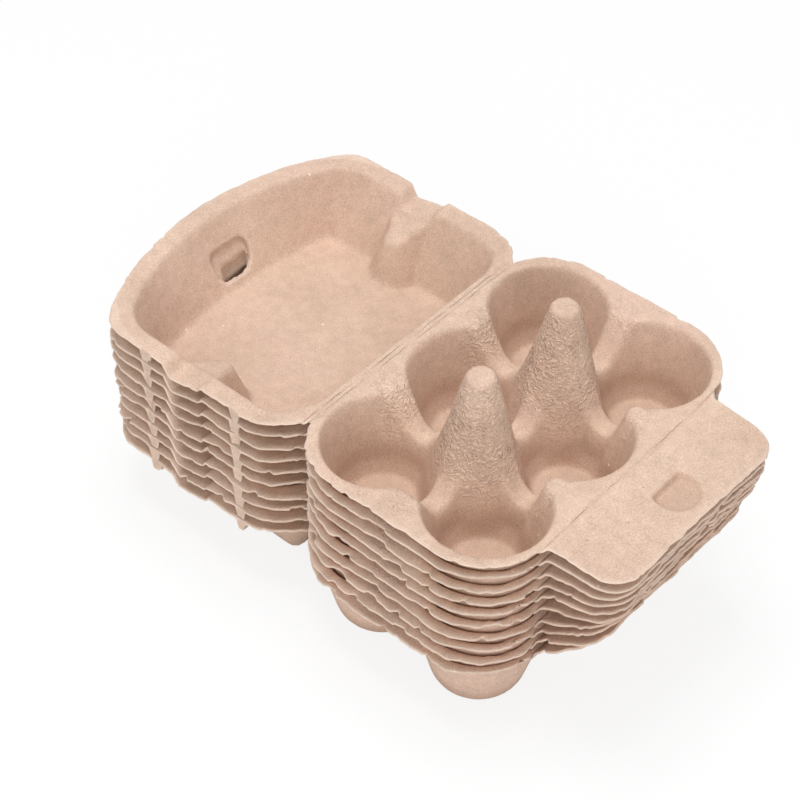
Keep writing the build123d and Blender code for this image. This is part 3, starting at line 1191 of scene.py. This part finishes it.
floor_material = bpy.data.materials.new("studio floor")
floor_material.use_nodes = True
tree = floor_material.node_tree
surface = tree.nodes["Principled BSDF"]
surface.inputs["Base Color"].default_value = (0.9, 0.9, 0.9, 1.0)
surface.inputs["Roughness"].default_value = 0.9
glow = add(tree, "ShaderNodeEmission", Strength=1.0)
ray = add(tree, "ShaderNodeLightPath")
white_share = sum_up(tree, "MULTIPLY", ray.outputs["Is Camera Ray"], FLOOR_WHITE_SHARE)
mix_shaders(tree, white_share, surface.outputs["BSDF"], glow.outputs["Emission"], "Material Output")
floor_mesh.materials.append(floor_material)
print("floor:", 2 * floor_half, "m wide")

# %% [markdown]
# ## Light
#
# The boxes are lit as for a catalogue: an even white surround, a softbox overhead that models the cells,
# and a wider one beside the camera, which opens up the front of the stack. What the camera sees behind
# the stack is white, while the surround lights the boxes at a lower level.

# %% Hang the lamps
SURROUND_STRENGTH = 0.47
LAMP_AIM = Vector((0.0, 0.0, 0.06))

world = bpy.data.worlds.new("studio")
bpy.context.scene.world = world
world.use_nodes = True
sky = world.node_tree
fill = sky.nodes["Background"]
fill.inputs["Color"].default_value = (1.0, 1.0, 1.0, 1.0)
fill.inputs["Strength"].default_value = SURROUND_STRENGTH
backdrop = add(sky, "ShaderNodeBackground", Strength=1.0)
sky_ray = add(sky, "ShaderNodeLightPath")
sharp_ray = sum_up(sky, "MAXIMUM", sky_ray.outputs["Is Glossy Ray"], sky_ray.outputs["Is Transmission Ray"])
seen_ray = sum_up(sky, "MAXIMUM", sky_ray.outputs["Is Camera Ray"], sharp_ray)
mix_shaders(sky, seen_ray, fill.outputs["Background"], backdrop.outputs["Background"], "World Output")


def softbox(name, place, size, watts):
    """A square lamp aimed at the stack."""
    lamp = bpy.data.lights.new(name, "AREA")
    lamp.size = size
    lamp.energy = watts
    holder = new_object(name, lamp)
    holder.location = place
    aim = LAMP_AIM - Vector(place)
    holder.rotation_euler = aim.to_track_quat("-Z", "Y").to_euler()
    return holder


lamps = [
    softbox("overhead softbox", place=(-0.12, 0.02, 1.35), size=0.55, watts=10.8),
    softbox("camera side softbox", place=(0.9, -1.0, 0.7), size=1.0, watts=7.6),
]
print("lamps:", [lamp.name for lamp in lamps])

# %% [markdown]
# ## Camera
#
# The camera stands where the photograph was taken from: turned about 40 degrees from the long side of
# the base and 45 degrees up, with a long lens, so the edges of the boxes run nearly parallel.

# %% Set up the camera
CAMERA_AZIMUTH = 40.499
CAMERA_ELEVATION = 44.99
CAMERA_ROLL = 0.911
CAMERA_DISTANCE = 762.383
CAMERA_TARGET = Vector((-8.24, -7.04, 63.1))
CAMERA_LENS = 90.63
SENSOR_WIDTH = 36.0


def photo_camera():
    """The camera, turned about its target."""
    azimuth, elevation, roll = [math.radians(v) for v in (CAMERA_AZIMUTH, CAMERA_ELEVATION, CAMERA_ROLL)]
    level_back = Vector((math.sin(azimuth), -math.cos(azimuth), 0.0))
    back = level_back * math.cos(elevation) + Vector((0.0, 0.0, math.sin(elevation)))
    right = Vector((math.cos(azimuth), math.sin(azimuth), 0.0))
    up = back.cross(right)
    right, up = right * math.cos(roll) + up * math.sin(roll), up * math.cos(roll) - right * math.sin(roll)
    lens = bpy.data.cameras.new("photo camera")
    lens.lens = CAMERA_LENS
    lens.sensor_width = SENSOR_WIDTH
    camera = new_object("photo camera", lens)
    turn = Matrix((right, up, back)).transposed().to_4x4()
    camera.matrix_world = Matrix.Translation((CAMERA_TARGET + back * CAMERA_DISTANCE) * METRE) @ turn
    bpy.context.scene.camera = camera
    return camera


camera = photo_camera()
bpy.context.scene.view_settings.view_transform = "Standard"
print("camera at", [round(v, 3) for v in camera.location])
